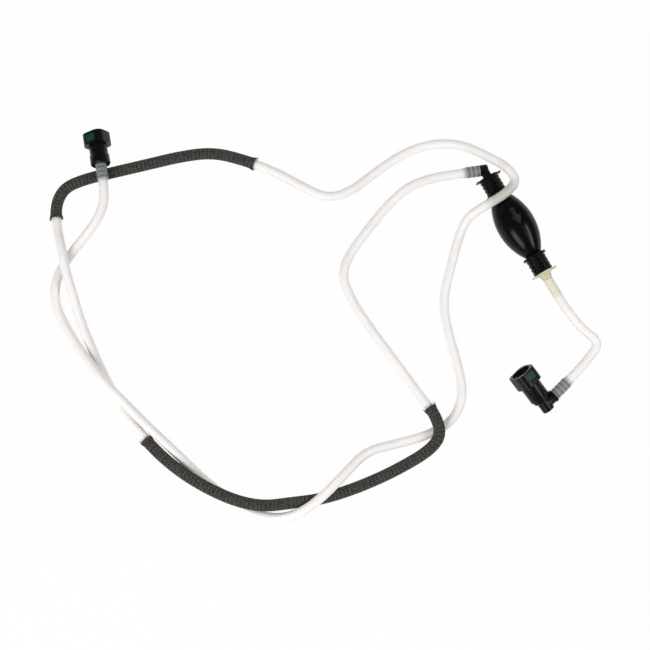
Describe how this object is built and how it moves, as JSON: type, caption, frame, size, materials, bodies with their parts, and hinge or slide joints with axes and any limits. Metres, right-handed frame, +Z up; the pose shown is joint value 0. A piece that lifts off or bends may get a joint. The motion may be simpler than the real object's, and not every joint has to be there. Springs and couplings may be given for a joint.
{
  "type": "hand priming bulb pump with hoses",
  "caption": "Squeeze bulb fuel primer with a check valve in each neck, a long braided-sleeve hose and a short hose, each ending in a push-fit quick connector.",
  "frame": {"origin": "on the floor under the middle of the pump's own box, from its inlet elbow to its outlet spigot", "axes": "+X along the bulb's axis in the flow's direction, +Z up"},
  "size_m": [0.5101, 0.511, 0.0452],
  "materials": {
    "bulb_rubber": "gloss",
    "black_plastic": "satin",
    "natural_plastic": "satin",
    "latch_green": "satin",
    "hose": "satin",
    "braid": "woven",
    "seal_rubber": "satin",
    "steel": "polished"
  },
  "bodies": {
    "pump": {"bulb": "bulb_rubber", "inlet_clamp_sleeve": "black_plastic", "outlet_clamp_sleeve": "black_plastic", "inlet_elbow": "black_plastic", "outlet_stem": "natural_plastic", "inlet_valve_cage": "natural_plastic", "outlet_valve_seat": "natural_plastic", "inlet_valve_spring": "steel", "outlet_valve_spring": "steel", "long_hose": "hose", "short_hose": "hose", "lower_braided_sleeve": "braid", "upper_braided_sleeve": "braid", "straight_connector_body": "black_plastic", "straight_inner_o_ring": "seal_rubber", "straight_outer_o_ring": "seal_rubber", "straight_seal_spacer": "natural_plastic", "straight_guide_bush": "natural_plastic", "elbow_connector_body": "black_plastic", "elbow_inner_o_ring": "seal_rubber", "elbow_outer_o_ring": "seal_rubber", "elbow_seal_spacer": "natural_plastic", "elbow_guide_bush": "natural_plastic"},
    "bulb_crown": {"bulb_flow_arrow": "bulb_rubber"},
    "inlet_ball": {"inlet_valve_ball": "steel"},
    "outlet_ball": {"outlet_valve_ball": "steel"},
    "straight_latch_upper": {"straight_latch_upper": "latch_green"},
    "straight_latch_lower": {"straight_latch_lower": "latch_green"},
    "elbow_latch_upper": {"elbow_latch_upper": "latch_green"},
    "elbow_latch_lower": {"elbow_latch_lower": "latch_green"}
  },
  "joints": [
    {"name": "bulb_squeeze", "type": "slide", "parent": "pump", "child": "bulb_crown", "axis": [0, 0, -1], "range_m": [0, 0.01], "stiffness_N_per_m": 600, "deforming": ["bulb"]},
    {"name": "inlet_valve_lift", "type": "slide", "parent": "pump", "child": "inlet_ball", "axis": [1, 0, 0], "range_m": [0, 0.0025], "stiffness_N_per_m": 40, "deforming": ["inlet_valve_spring"]},
    {"name": "outlet_valve_lift", "type": "slide", "parent": "pump", "child": "outlet_ball", "axis": [1, 0, 0], "range_m": [0, 0.0025], "stiffness_N_per_m": 40, "deforming": ["outlet_valve_spring"]},
    {"name": "straight_latch_upper_press", "type": "slide", "parent": "pump", "child": "straight_latch_upper", "axis": [0.227, 0.4196, -0.8789], "range_m": [0, 0.0015], "stiffness_N_per_m": 500},
    {"name": "straight_latch_lower_press", "type": "slide", "parent": "pump", "child": "straight_latch_lower", "axis": [-0.227, -0.4196, 0.8789], "range_m": [0, 0.0015], "stiffness_N_per_m": 500},
    {"name": "elbow_latch_upper_press", "type": "slide", "parent": "pump", "child": "elbow_latch_upper", "axis": [-0.2332, -0.3401, -0.911], "range_m": [0, 0.0015], "stiffness_N_per_m": 500},
    {"name": "elbow_latch_lower_press", "type": "slide", "parent": "pump", "child": "elbow_latch_lower", "axis": [0.2332, 0.3401, 0.911], "range_m": [0, 0.0015], "stiffness_N_per_m": 500}
  ],
  "couplings": [
    {"joint": "straight_latch_lower_press", "follows": "straight_latch_upper_press", "ratio": 1},
    {"joint": "elbow_latch_lower_press", "follows": "elbow_latch_upper_press", "ratio": 1}
  ]
}
